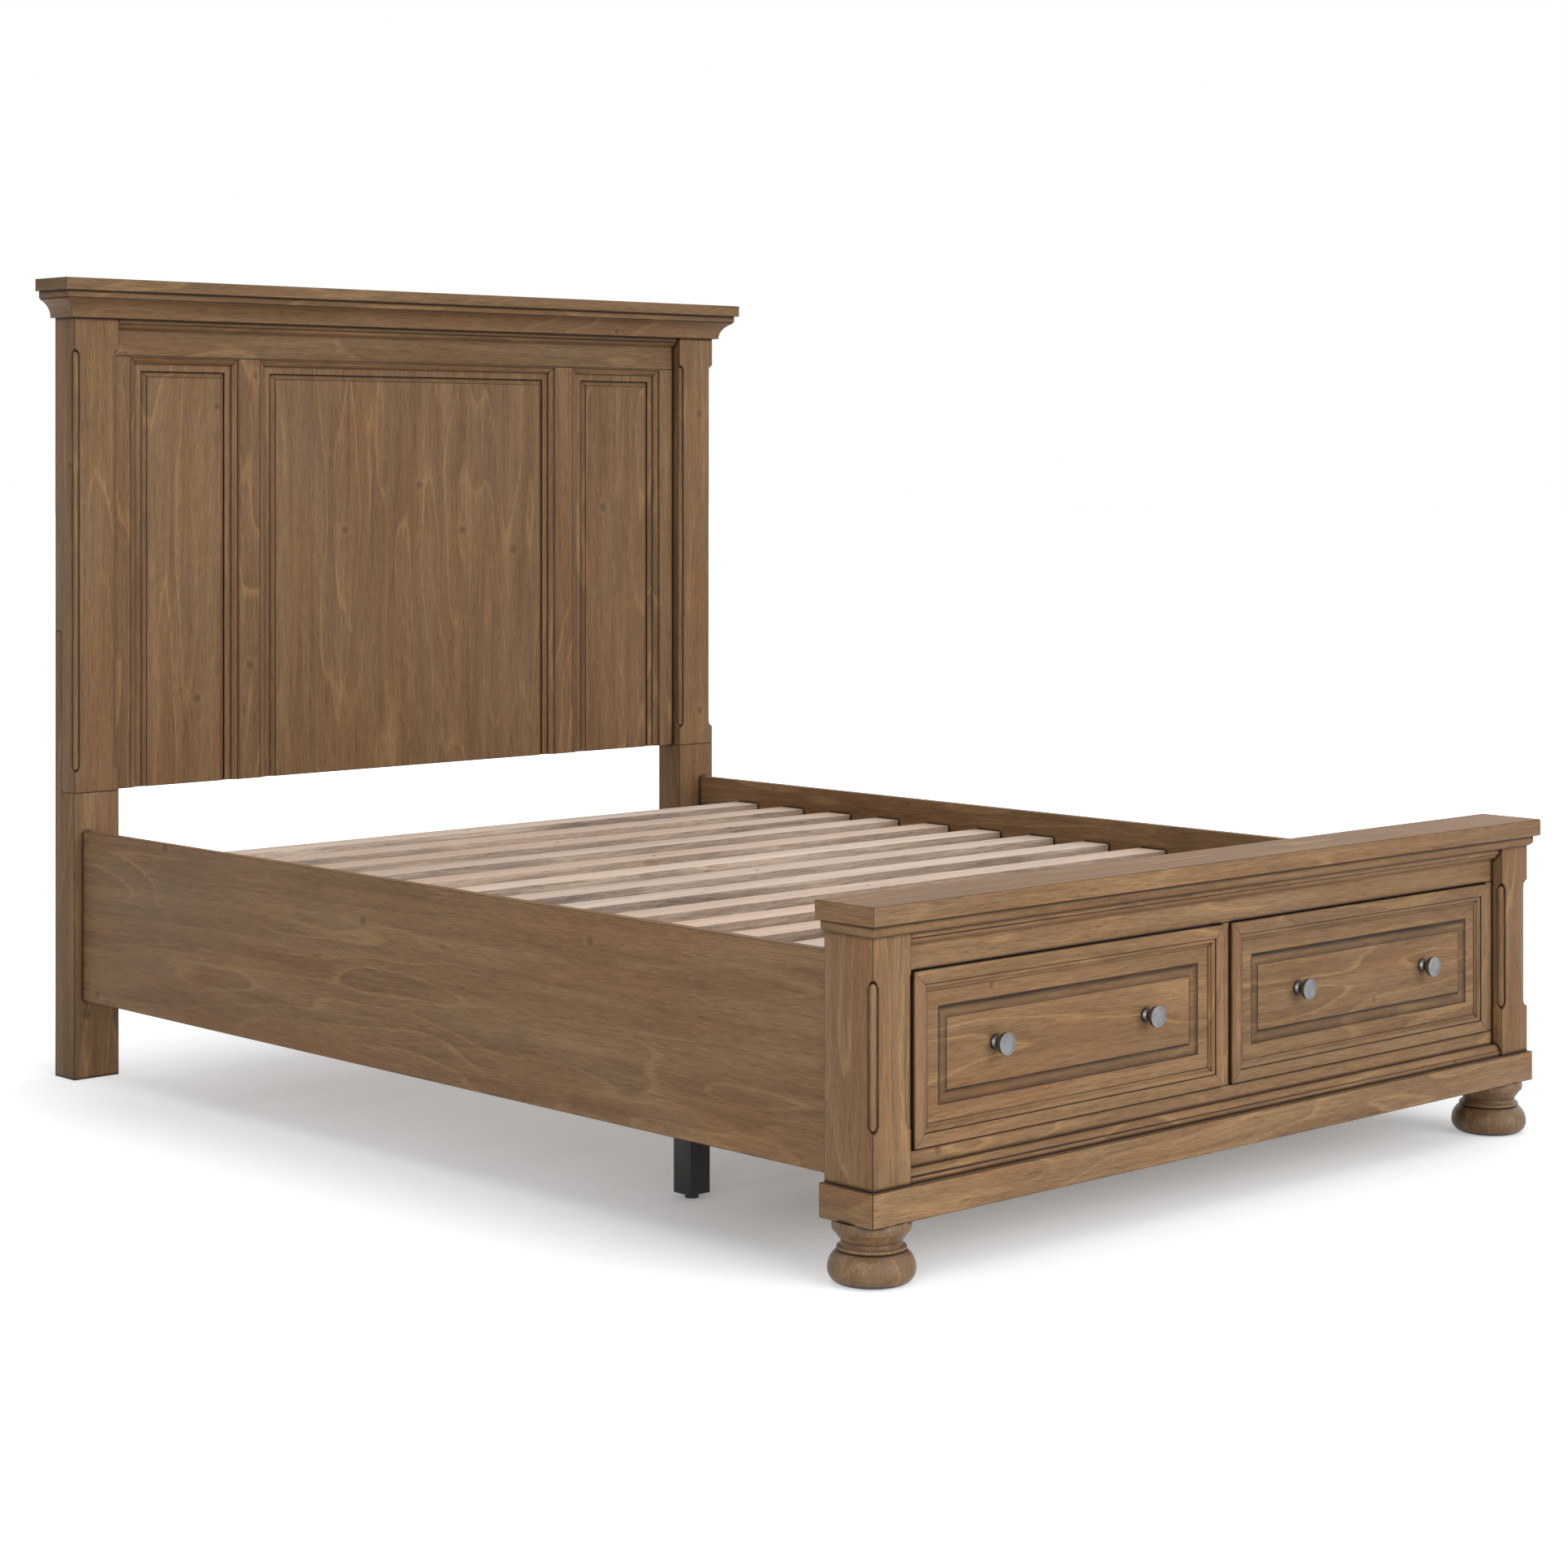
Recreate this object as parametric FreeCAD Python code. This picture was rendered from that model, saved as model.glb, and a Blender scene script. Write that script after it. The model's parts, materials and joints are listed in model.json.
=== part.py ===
import FreeCAD, Part
import os

os.makedirs("parts", exist_ok=True)

Vector = FreeCAD.Vector
ORIGIN = Vector(0, 0, 0)
ALONG_X = Vector(1, 0, 0)
ALONG_Y = Vector(0, 1, 0)
ALONG_Z = Vector(0, 0, 1)
PARALLEL_LIMIT = 1e-6

# All lengths are in millimetres. The footboard faces -Y and the headboard stands at +Y.
# The origin is on the floor, at the middle of the bed's length and width.

# Whole bed
bed_length = 2279.0
bed_height = 1552.5
bed_width = 1745.0
cut_overrun = 2.0

# Headboard posts and lower legs
head_post_beyond_rail = 18.25
head_post_width = 99.0
head_post_depth = 71.5
head_leg_height = 555.5
leg_tongue_height = 312.5
leg_tongue_depth = 24.5

# Stopped recess on the front corners of all four posts, and the bead laid in it
recess_size = 11.4
bead_radius = 8.2
bead_end_gap = 4.2
quarter_bulge_share = 0.2071
head_recess_above_leg = 38.8
head_recess_below_crown = 98.2
foot_recess_above_plinth = 81.6
foot_recess_below_cap = 79.0

# Crown: top board, step board and cove
crown_overhang = 43.75
crown_thickness = 23.7
crown_edge_round = 2.0
crown_step_inset = 8.1
crown_step_thickness = 13.6
cove_height = 37.5
cove_foot_projection = 10.5
cove_foot_edge = 3.0
cove_top_inset = 2.5
cove_lip = 3.0
cove_bulge_share = 0.14

# Small moulding under each cornice, alike on the headboard and the footboard
trim_projection = 16.5
trim_fillet_height = 8.8
trim_curve_height = 13.4
trim_quirk = 4.2
trim_quirk_drop = 1.2
trim_knee_projection = 6.4
trim_knee_drop = 9.2
trim_bulge_share = 0.12

# Headboard frame and panels
head_frame_inset = 22.7
head_frame_thickness = 24.5
top_rail_height = 109.2
head_stile_width = 40.5
mullion_width = 50.7
side_panel_width = 253.1
head_sticking_width = 14.2
head_sticking_depth = 9.5
head_sticking_flat = 2.5
head_sticking_quirk = 1.8
head_sticking_edge = 1.6
head_sticking_bulge_share = 0.1
panel_band_width = 15.3
panel_bevel_width = 10.3
panel_bevel_foot_setback = 12.5
panel_bevel_top_setback = 5.8
panel_field_setback = 4.5
back_sheet_thickness = 6.0

# Side rails
rail_thickness = 20.0
rail_height = 328.0
rail_bottom = 153.0
rail_edge_round = 2.5

# Slats, ledges and centre beam
slat_count = 13
slat_width = 68.0
slat_thickness = 18.0
slat_below_rail_top = 47.5
slat_end_gap = 3.0
first_slat_from_back = 234.8
last_slat_from_front = 271.8
ledge_size = 25.0
ledge_end_gap = 6.0
beam_width = 60.0
beam_height = 70.0
beam_head_overhang = 10.0

# Wood screws through every second slat
screw_head_radius = 4.5
screw_head_height = 2.6
screw_shank_radius = 2.2
screw_length = 38.0
screw_recess = 0.5
fastener_clearance = 0.2

# Metal legs under the centre beam and the drawer case
metal_leg_size = 42.0
metal_leg_wall = 2.5
leg_plate_length = 90.0
leg_plate_thickness = 4.0
leg_plate_width = 50.0
glide_radius = 11.0
glide_height = 8.0
glide_plug_height = 12.0
glide_fit = 0.2
slats_between_centre_legs = 4
centre_leg_count = 3

# Brackets and bolts that join the rails and legs to the posts
bracket_thickness = 3.0
bracket_height = 100.0
bracket_above_rail_bottom = 72.0
bracket_post_reach = 40.0
bracket_rail_reach = 80.0
bracket_stud_radius = 3.0
bracket_stud_length = 12.0
bolt_radius = 4.0
bolt_head_radius = 7.0
bolt_head_height = 5.0
bolt_length = 42.0
bolt_recess_radius = 9.0
bolt_recess_depth = 6.0
bolt_spacing = 50.0
leg_bolt_first = 80.0
leg_bolt_spacing = 150.0

# Footboard cap and its moulding
cap_above_rail = 78.0
cap_side_overhang = 16.25
cap_depth = 124.2
cap_thickness = 29.5
cap_edge_round = 2.5
cap_front_overhang = 18.3
cap_moulding_projection = 7.8
cap_moulding_height = 18.0
cap_moulding_curve = 7.6
cap_moulding_toe = 1.0
cap_moulding_bulge_share = 0.12

# Footboard posts and face frame
foot_post_beyond_rail = 13.25
foot_post_width = 78.6
foot_post_depth = 101.5
foot_frame_inset = 20.8
foot_frame_thickness = 22.0
header_height = 77.5
side_stile_width = 20.1
centre_stile_width = 17.6
bottom_rail_above_plinth = 44.1

# Plinth, bottom moulding and corner blocks
plinth_bottom = 92.6
plinth_height = 51.3
plinth_projection = 6.5
bottom_moulding_projection = 17.4
bottom_moulding_fillet = 8.8
bottom_moulding_quirk = 2.0
bottom_moulding_quirk_rise = 0.8
bottom_moulding_height = 19.6
bottom_moulding_ledge = 8.0
bottom_moulding_bulge_share = 0.12

# Turned bun feet, as radii and heights of the turning
bun_from_side = 46.8
bun_from_front = 68.2
bun_base_radius = 45.5
bun_low_curve_radius = 62.0
bun_low_curve_height = 9.5
bun_radius = 65.2
bun_widest_height = 25.0
bun_high_curve_radius = 60.8
bun_high_curve_height = 38.5
bun_top_radius = 51.6
bun_top_height = 48.0
ring_edge_radius = 50.2
ring_low_height = 48.8
ring_radius = 52.0
ring_middle_height = 51.8
ring_top_height = 54.8
neck_curve_radius = 46.6
neck_curve_height = 57.6
neck_radius = 45.2
neck_height = 61.8
neck_top_radius = 55.6
neck_top_height = 76.4
collar_edge_radius = 57.6
collar_edge_height = 77.4
collar_radius = 59.2
collar_middle_height = 84.0
collar_top_radius = 57.8
collar_top_gap = 1.4
stud_radius = 4.0
stud_in_foot = 25.0
stud_in_block = 35.0

# Drawer case behind the footboard
case_side_thickness = 16.0
case_depth = 577.1
rear_rail_thickness = 30.0
case_leg_from_rail = 180.5

# Drawer fronts
drawer_gap_side = 2.5
drawer_gap_height = 2.0
drawer_front_thickness = 20.0
band_setback = 1.1
front_moulding_width = 32.5
front_moulding_proud = 6.8
front_moulding_flat = 20.0
front_moulding_round = 1.6
front_moulding_quirk = 1.8
front_moulding_ovolo_width = 7.5
front_moulding_ovolo_drop = 3.6
front_moulding_toe = 0.8
front_moulding_bulge_share = 0.2
band_width = 24.2
groove_width = 19.3
groove_edge_width = 0.5
groove_edge_depth = 1.1
groove_step = 1.1
groove_hollow_share = 0.15
field_setback = 1.9

# Drawer boxes
box_wall = 12.0
box_length = 460.0
box_above_front_bottom = 15.0
box_below_slats = 40.5
box_panel_thickness = 6.0
box_panel_groove = 6.0
box_panel_lift = 8.0

# Extension slides
slide_space = 12.7
slide_height = 46.0
slide_length = 450.0
slide_metal = 1.3
slide_play = 0.5
slide_front_gap = 2.0

# Knobs, as radii and heights of the turning
knob_spacing = 347.6
knob_above_middle = 4.8
knob_foot_radius = 10.5
knob_foot_height = 2.5
knob_neck_radius = 8.2
knob_neck_height = 7.0
knob_cone_height = 17.5
knob_cone_radius = 15.7
knob_disc_radius = 16.9
knob_rim_height = 20.5
knob_height = 25.5
knob_rim_width = 2.8
knob_dish_depth = 0.5
knob_stud_radius = 2.0
knob_stud_length = 17.0

# Places that follow from the sizes above
back_y = bed_length / 2
front_y = -bed_length / 2
rail_outer = bed_width / 2 - crown_overhang - head_post_beyond_rail
rail_inner = rail_outer - rail_thickness
rail_top = rail_bottom + rail_height
head_post_front = back_y - head_post_depth
head_post_outer = rail_outer + head_post_beyond_rail
head_post_inner = head_post_outer - head_post_width
head_frame_y = head_post_front + head_frame_inset
head_frame_back = head_frame_y + head_frame_thickness
crown_bottom = bed_height - crown_thickness
crown_front = head_post_front - crown_overhang
head_post_top = crown_bottom - crown_step_thickness
crown_half = head_post_outer + crown_overhang
cove_bottom = head_post_top - cove_height
top_rail_bottom = head_post_top - top_rail_height
head_stile_inner = head_post_inner - head_stile_width
mullion_outer = head_stile_inner - side_panel_width
mullion_inner = mullion_outer - mullion_width
slat_top = rail_top - slat_below_rail_top
slat_bottom = slat_top - slat_thickness
slat_pitch = (bed_length - first_slat_from_back - last_slat_from_front) / (slat_count - 1)
ledge_bottom = slat_bottom - ledge_size
beam_bottom = slat_bottom - beam_height
foot_post_front = front_y + cap_front_overhang
foot_post_back = foot_post_front + foot_post_depth
foot_post_outer = rail_outer + foot_post_beyond_rail
foot_post_inner = foot_post_outer - foot_post_width
cap_back = front_y + cap_depth
cap_half = foot_post_outer + cap_side_overhang
foot_height = rail_top + cap_above_rail
cap_bottom = foot_height - cap_thickness
foot_frame_y = foot_post_front + foot_frame_inset
foot_frame_back = foot_frame_y + foot_frame_thickness
header_bottom = cap_bottom - header_height
cap_moulding_bottom = cap_bottom - cap_moulding_height
plinth_top = plinth_bottom + plinth_height
plinth_front = foot_post_front - plinth_projection
plinth_outer = foot_post_outer + plinth_projection
plinth_thickness = plinth_projection + foot_frame_inset
bottom_rail_top = plinth_top + bottom_rail_above_plinth
side_stile_inner = foot_post_inner - side_stile_width
centre_stile_half = centre_stile_width / 2
rear_rail_front = foot_frame_back + case_depth
rear_rail_y = rear_rail_front + rear_rail_thickness / 2
rear_rail_back = rear_rail_front + rear_rail_thickness
bun_x = foot_post_outer - bun_from_side
bun_y = front_y + bun_from_front
band_y = foot_frame_y + band_setback
drawer_bottom = bottom_rail_top + drawer_gap_height
drawer_top = header_bottom - drawer_gap_height
drawer_inner = centre_stile_half + drawer_gap_side
drawer_outer = side_stile_inner - drawer_gap_side
drawer_centre = (drawer_inner + drawer_outer) / 2
knob_z = (drawer_bottom + drawer_top) / 2 + knob_above_middle
drawer_front_back = band_y + drawer_front_thickness
field_margin = front_moulding_width + band_width + groove_width
field_y = band_y + field_setback
box_inner_side = centre_stile_half + slide_space
box_outer_side = side_stile_inner - slide_space
box_bottom = drawer_bottom + box_above_front_bottom
box_top = slat_bottom - box_below_slats
slide_middle_z = (box_bottom + box_top) / 2
slide_front_y = foot_frame_back + slide_front_gap
screw_slats = range(0, slat_count, 2)
bracket_low = rail_bottom + bracket_above_rail_bottom
bracket_high = bracket_low + bracket_height
bracket_bolt_low = bracket_low + (bracket_height - bolt_spacing) / 2


# Basic shapes

def block(x_low, x_high, y_low, y_high, z_low, z_high):
    return Part.makeBox(x_high - x_low, y_high - y_low, z_high - z_low, Vector(x_low, y_low, z_low))


def rod(radius, length, start, direction):
    return Part.makeCylinder(radius, length, start, direction)


def mirrored(shape):
    return shape.mirror(ORIGIN, ALONG_X)


def turned(shape, axis, degrees):
    copy = shape.copy()
    copy.rotate(ORIGIN, axis, degrees)
    return copy


def moved(shape, x, y, z):
    copy = shape.copy()
    copy.translate(Vector(x, y, z))
    return copy


def joined(first, *others):
    return first.fuse(list(others)).removeSplitter()


def arc_to(start, end, bulge_share):
    """Arc step: its middle stands off the chord by a share of the chord, to the left of its direction."""
    run = end[0] - start[0]
    rise = end[1] - start[1]
    middle = ((start[0] + end[0]) / 2 - rise * bulge_share, (start[1] + end[1]) / 2 + run * bulge_share)
    return middle + end


def outline_face(corners):
    """Closed face in the YZ plane. A corner is (y, z), or (middle y, middle z, y, z) for an arc to it."""
    start = Vector(0, corners[0][0], corners[0][1])
    here = start
    edges = []
    for corner in corners[1:]:
        end = Vector(0, corner[-2], corner[-1])
        if len(corner) == 2:
            edges.append(Part.LineSegment(here, end).toShape())
        else:
            edges.append(Part.Arc(here, Vector(0, corner[0], corner[1]), end).toShape())
        here = end
    edges.append(Part.LineSegment(here, start).toShape())
    return Part.Face(Part.Wire(edges))


def polygon_prism(points, rise):
    wire = Part.makePolygon([Vector(*point) for point in points + points[:1]])
    return Part.Face(wire).extrude(rise)


def long_edges_rounded(shape, radius, direction):
    """Rounds the straight edges of a board that run along the given direction."""
    edges = []
    for edge in shape.Edges:
        if edge.tangentAt(edge.FirstParameter).cross(direction).Length < PARALLEL_LIMIT:
            edges.append(edge)
    return shape.makeFillet(radius, edges)


# Mitred mouldings. A member runs along +X, with y inward from its outer edge and z as its height.

def mitred_member(corners, length, mitre_start, mitre_end):
    body = outline_face(corners).extrude(Vector(length, 0, 0))
    bounds = body.BoundBox
    reach = bounds.YMax
    low = bounds.ZMin
    plan = [(0, 0, low), (length, 0, low),
            (length - reach * mitre_end, reach, low), (reach * mitre_start, reach, low)]
    return body.common(polygon_prism(plan, Vector(0, 0, bounds.ZLength)))


def three_sided(corners, width, depth):
    """Front member and two returns, with the front at y = 0 and the returns running back square."""
    front = moved(mitred_member(corners, width, 1, 1), -width / 2, 0, 0)
    right = moved(turned(mitred_member(corners, depth, 1, 0), ALONG_Z, 90), width / 2, 0, 0)
    return [front, right, mirrored(right)]


def four_sided(corners, width, depth):
    long_side = moved(mitred_member(corners, width, 1, 1), -width / 2, 0, 0)
    short_side = moved(turned(mitred_member(corners, depth, 1, 1), ALONG_Z, 90), width / 2, 0, 0)
    far_side = moved(turned(long_side, ALONG_Z, 180), 0, depth, 0)
    return [long_side, short_side, far_side, mirrored(short_side)]


# Posts

def recess_view(inward, length):
    """Outline of a corner recess from one side, standing on the corner's edge."""
    deep = inward * recess_size
    bulge = -inward * quarter_bulge_share
    low = (deep, recess_size)
    high = (deep, length - recess_size)
    return outline_face([(0, 0), arc_to((0, 0), low, bulge), high, arc_to(high, (0, length), bulge)])


def recess_shape(x_corner, y_front, inward, z_low, length):
    """Stopped corner recess: square in plan, with a quarter round at both ends in either view."""
    seen_from_side = recess_view(1, length).extrude(Vector(inward * recess_size, 0, 0))
    seen_in_front = turned(recess_view(inward, length), ALONG_Z, -90).extrude(Vector(0, recess_size, 0))
    return moved(seen_in_front.common(seen_from_side), x_corner, y_front, z_low)


def bead(x_corner, y_front, inward, z_low, length):
    """Quarter-round bead in the recess of the same place, with ends rounded as the recess is."""
    low = z_low + bead_end_gap
    span = length - 2 * bead_end_gap
    start = Vector(x_corner + inward * recess_size, y_front + recess_size, low)
    stick = rod(bead_radius, span, start, ALONG_Z)
    return stick.common(recess_shape(x_corner, y_front, inward, low, span))


def recess_places(x_outer, x_inner, y_front, z_low, z_high):
    """Recess values of a right-hand post: its outer corner and its inner corner."""
    return [(x_outer, y_front, -1, z_low, z_high - z_low), (x_inner, y_front, 1, z_low, z_high - z_low)]


def head_recess_places():
    return recess_places(head_post_outer, head_post_inner, head_post_front,
                         head_leg_height + head_recess_above_leg, head_post_top - head_recess_below_crown)


def foot_recess_places():
    return recess_places(foot_post_outer, foot_post_inner, foot_post_front,
                         plinth_top + foot_recess_above_plinth, cap_bottom - foot_recess_below_cap)


def leg_bolt_places():
    x = (head_post_outer + head_post_inner) / 2
    return [(x, head_leg_height + leg_bolt_first + step * leg_bolt_spacing) for step in range(2)]


def head_post():
    post = block(head_post_inner, head_post_outer, head_post_front, back_y, head_leg_height, head_post_top)
    tongue = block(head_post_inner, head_post_outer, back_y - leg_tongue_depth, back_y,
                   head_leg_height, head_leg_height + leg_tongue_height)
    post = post.cut(tongue)
    for place in head_recess_places():
        post = post.cut(recess_shape(*place))
    for x, z in leg_bolt_places():
        post = post.cut(bolt_hole(leg_bolt_start(x, z), Vector(0, -1, 0)))
    return post


def leg_bolt_start(x, z):
    """Where a leg bolt's head bears, at the bottom of its recess in the tongue."""
    return Vector(x, back_y - bolt_recess_depth, z)


def head_leg():
    leg = block(head_post_inner, head_post_outer, head_post_front, back_y, 0, head_leg_height)
    tongue = block(head_post_inner, head_post_outer, back_y - leg_tongue_depth, back_y,
                   head_leg_height, head_leg_height + leg_tongue_height)
    leg = joined(leg, tongue)
    for x, z in leg_bolt_places():
        leg = leg.cut(bolt_hole(leg_bolt_start(x, z), Vector(0, -1, 0)))
        leg = leg.cut(rod(bolt_recess_radius, bolt_recess_depth, leg_bolt_start(x, z), ALONG_Y))
    for start, direction in bracket_bolts(head_post_front, 1):
        leg = leg.cut(bolt_hole(start, direction))
    return leg


# Bolts, screws and brackets

def bolt(start, direction):
    """Bolt whose head bears at start and whose shank runs along direction."""
    head = rod(bolt_head_radius, bolt_head_height, start, direction * -1)
    return joined(head, rod(bolt_radius, bolt_length, start, direction))


def bolt_hole(start, direction):
    return rod(bolt_radius + fastener_clearance, bolt_length + fastener_clearance, start, direction)


def bracket_bolts(post_face_y, into_post):
    """Head seats of the two bolts of a right-hand bracket, with the direction into the post."""
    x = rail_inner - bracket_post_reach / 2
    y = post_face_y - into_post * bracket_thickness
    direction = Vector(0, into_post, 0)
    return [(Vector(x, y, bracket_bolt_low + step * bolt_spacing), direction) for step in range(2)]


def bracket_studs(post_face_y, into_post, extra_radius):
    """Two studs that stand out of a bracket into its rail."""
    y = post_face_y - into_post * bracket_rail_reach / 2
    radius = bracket_stud_radius + extra_radius
    length = bracket_stud_length + extra_radius
    starts = [Vector(rail_inner, y, bracket_bolt_low + step * bolt_spacing) for step in range(2)]
    return [rod(radius, length, start, ALONG_X) for start in starts]


def bracket(post_face_y, into_post):
    """Right-hand angle bracket between a rail's inner face and a post's face."""
    near = sorted((post_face_y, post_face_y - into_post * bracket_thickness))
    far = sorted((post_face_y, post_face_y - into_post * bracket_rail_reach))
    on_post = block(rail_inner - bracket_post_reach, rail_inner, *near, bracket_low, bracket_high)
    on_rail = block(rail_inner - bracket_thickness, rail_inner, *far, bracket_low, bracket_high)
    angle = joined(on_post, on_rail, *bracket_studs(post_face_y, into_post, 0))
    for start, direction in bracket_bolts(post_face_y, into_post):
        angle = angle.cut(rod(bolt_radius + fastener_clearance, bracket_thickness, start, direction))
    return angle


def bracket_places():
    """Post face and the direction into the post, at the headboard and at the footboard."""
    return [(head_post_front, 1), (foot_post_back, -1)]


# Headboard

def crown_board():
    board = block(-crown_half, crown_half, crown_front, back_y, crown_bottom, bed_height)
    return long_edges_rounded(board, crown_edge_round, ALONG_X)


def crown_step():
    half = crown_half - crown_step_inset
    return block(-half, half, crown_front + crown_step_inset, back_y, head_post_top, crown_bottom)


def crown_cove():
    projection = crown_overhang - crown_step_inset - cove_top_inset
    foot = (projection - cove_foot_projection, cove_foot_edge)
    lip = (0, cove_height - cove_lip)
    corners = [(projection, 0), (foot[0], 0), foot, arc_to(foot, lip, -cove_bulge_share),
               (0, cove_height), (projection, cove_height)]
    members = three_sided(corners, 2 * (head_post_outer + projection), head_post_depth + projection)
    return [moved(member, 0, head_post_front - projection, cove_bottom) for member in members]


def cornice_trim(half_length, frame_y, inset, cornice_bottom, top):
    """Small moulding on a frame's face. Above the cornice's lower edge it fills out to the posts' front."""
    fillet_bottom = cornice_bottom - trim_fillet_height
    root = (frame_y, fillet_bottom - trim_curve_height)
    knee = (frame_y - trim_knee_projection, fillet_bottom - trim_knee_drop)
    nose = (frame_y - trim_projection, fillet_bottom)
    quirk = (nose[0] + trim_quirk, fillet_bottom - trim_quirk_drop)
    corners = [root, arc_to(root, knee, -trim_bulge_share), arc_to(knee, quirk, trim_bulge_share), nose,
               (nose[0], cornice_bottom), (frame_y - inset, cornice_bottom), (frame_y - inset, top),
               (frame_y, top)]
    return moved(outline_face(corners).extrude(Vector(2 * half_length, 0, 0)), -half_length, 0, 0)


def head_top_rail():
    return block(-head_post_inner, head_post_inner, head_frame_y, head_frame_back,
                 top_rail_bottom, head_post_top)


def head_stiles():
    """Two outer stiles and two mullions."""
    stile = block(head_stile_inner, head_post_inner, head_frame_y, head_frame_back,
                  head_leg_height, top_rail_bottom)
    mullion = block(mullion_inner, mullion_outer, head_frame_y, head_frame_back,
                    head_leg_height, top_rail_bottom)
    return [stile, mirrored(stile), mullion, mirrored(mullion)]


def panel_openings():
    """Centre and width of the left, middle and right panel openings."""
    side_centre = (mullion_outer + head_stile_inner) / 2
    return [(-side_centre, side_panel_width), (0, 2 * mullion_inner), (side_centre, side_panel_width)]


def panel_ring(centre, width, margin, setback):
    """Outline of a panel's step at a margin from the opening's sides and top, open to the lower edge."""
    low = centre - width / 2 + margin
    high = centre + width / 2 - margin
    y = head_frame_y + setback
    top = top_rail_bottom - margin
    corners = [(low, y, head_leg_height), (high, y, head_leg_height), (high, y, top), (low, y, top)]
    return Part.makePolygon([Vector(*corner) for corner in corners + corners[:1]])


def head_panel(centre, width):
    """Raised panel: a flat band round three sides, then a bevel that rises to the field."""
    left = centre - width / 2
    right = centre + width / 2
    bevel_foot = head_sticking_width + panel_band_width
    bevel_top = bevel_foot + panel_bevel_width
    base = block(left, right, head_frame_y + panel_bevel_foot_setback, head_frame_back,
                 head_leg_height, top_rail_bottom)
    band = block(left, right, head_frame_y + head_sticking_depth, head_frame_y + panel_bevel_foot_setback,
                 head_leg_height, top_rail_bottom)
    band = band.cut(block(left + bevel_foot, right - bevel_foot, head_frame_y, head_frame_back,
                          head_leg_height, top_rail_bottom - bevel_foot))
    bevel = Part.makeLoft([panel_ring(centre, width, bevel_foot, panel_bevel_foot_setback),
                           panel_ring(centre, width, bevel_top, panel_bevel_top_setback)], True, True)
    field = block(left + bevel_top, right - bevel_top, head_frame_y + panel_field_setback,
                  head_frame_y + panel_bevel_top_setback, head_leg_height, top_rail_bottom - bevel_top)
    return joined(base, band, bevel, field)


def sticking_corners():
    """Panel moulding: a flat edge, a quirk and a curve down to the band."""
    drop = head_sticking_depth - head_sticking_quirk
    shoulder = (head_sticking_flat, drop)
    toe = (head_sticking_width, head_sticking_edge)
    return [(0, 0), (0, head_sticking_depth), (head_sticking_flat, head_sticking_depth), shoulder,
            arc_to(shoulder, toe, head_sticking_bulge_share), (head_sticking_width, 0)]


def head_panel_moulding():
    """Three members round each panel, with square lower ends."""
    members = []
    for centre, width in panel_openings():
        for member in three_sided(sticking_corners(), width, top_rail_bottom - head_leg_height):
            upright = turned(turned(member, ALONG_X, 90), ALONG_Y, 180)
            members.append(moved(upright, centre, head_frame_y + head_sticking_depth, top_rail_bottom))
    return members


def head_back_sheet():
    return block(-head_post_inner, head_post_inner, head_frame_back, head_frame_back + back_sheet_thickness,
                 head_leg_height, head_post_top)


# Rails, slats and centre beam

def side_rail():
    rail = block(rail_inner, rail_outer, foot_post_back, head_post_front, rail_bottom, rail_top)
    rail = long_edges_rounded(rail, rail_edge_round, ALONG_Y)
    for post_face_y, into_post in bracket_places():
        for hole in bracket_studs(post_face_y, into_post, fastener_clearance):
            rail = rail.cut(hole)
    return rail


def slat_ledge():
    return block(rail_inner - ledge_size, rail_inner, foot_post_back + ledge_end_gap,
                 head_post_front - ledge_end_gap, ledge_bottom, slat_bottom)


def slat_y(index):
    return back_y - first_slat_from_back - index * slat_pitch


def slat(index):
    half_length = rail_inner - slat_end_gap
    y = slat_y(index)
    board = block(-half_length, half_length, y - slat_width / 2, y + slat_width / 2, slat_bottom, slat_top)
    if index in screw_slats:
        board = board.cut(screw_hole(y))
    return board


def screw(y):
    top = slat_top - screw_recess
    head = rod(screw_head_radius, screw_head_height, Vector(0, y, top - screw_head_height), ALONG_Z)
    return joined(head, rod(screw_shank_radius, screw_length, Vector(0, y, top - screw_length), ALONG_Z))


def screw_hole(y):
    """Clearance for a screw, from its tip to the slat's upper face."""
    seat = slat_top - screw_recess - screw_head_height
    tip = slat_top - screw_recess - screw_length - fastener_clearance
    head = rod(screw_head_radius + fastener_clearance, slat_top - seat, Vector(0, y, seat), ALONG_Z)
    return joined(head, rod(screw_shank_radius + fastener_clearance, seat - tip, Vector(0, y, tip), ALONG_Z))


def centre_beam():
    head_end = slat_y(0) + slat_width / 2 + beam_head_overhang
    beam = block(-beam_width / 2, beam_width / 2, rear_rail_back, head_end, beam_bottom, slat_bottom)
    for index in screw_slats:
        if slat_y(index) > rear_rail_back:
            beam = beam.cut(screw_hole(slat_y(index)))
    return beam


# Metal legs

def metal_leg(x, y, top):
    """Square tube on a round glide, with a plate welded on for its screws."""
    half = metal_leg_size / 2
    bore = half - metal_leg_wall
    plate_low = top - leg_plate_thickness
    tube = block(x - half, x + half, y - half, y + half, glide_height, plate_low)
    tube = tube.cut(block(x - bore, x + bore, y - bore, y + bore, glide_height, plate_low))
    plate = block(x - leg_plate_length / 2, x + leg_plate_length / 2, y - leg_plate_width / 2,
                  y + leg_plate_width / 2, plate_low, top)
    return joined(tube, plate)


def glide(x, y):
    bore = metal_leg_size / 2 - metal_leg_wall - glide_fit
    plug = block(x - bore, x + bore, y - bore, y + bore, glide_height, glide_height + glide_plug_height)
    return joined(rod(glide_radius, glide_height, Vector(x, y, 0), ALONG_Z), plug)


def centre_leg_places():
    return [(0, slat_y(step * slats_between_centre_legs)) for step in range(centre_leg_count)]


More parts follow.
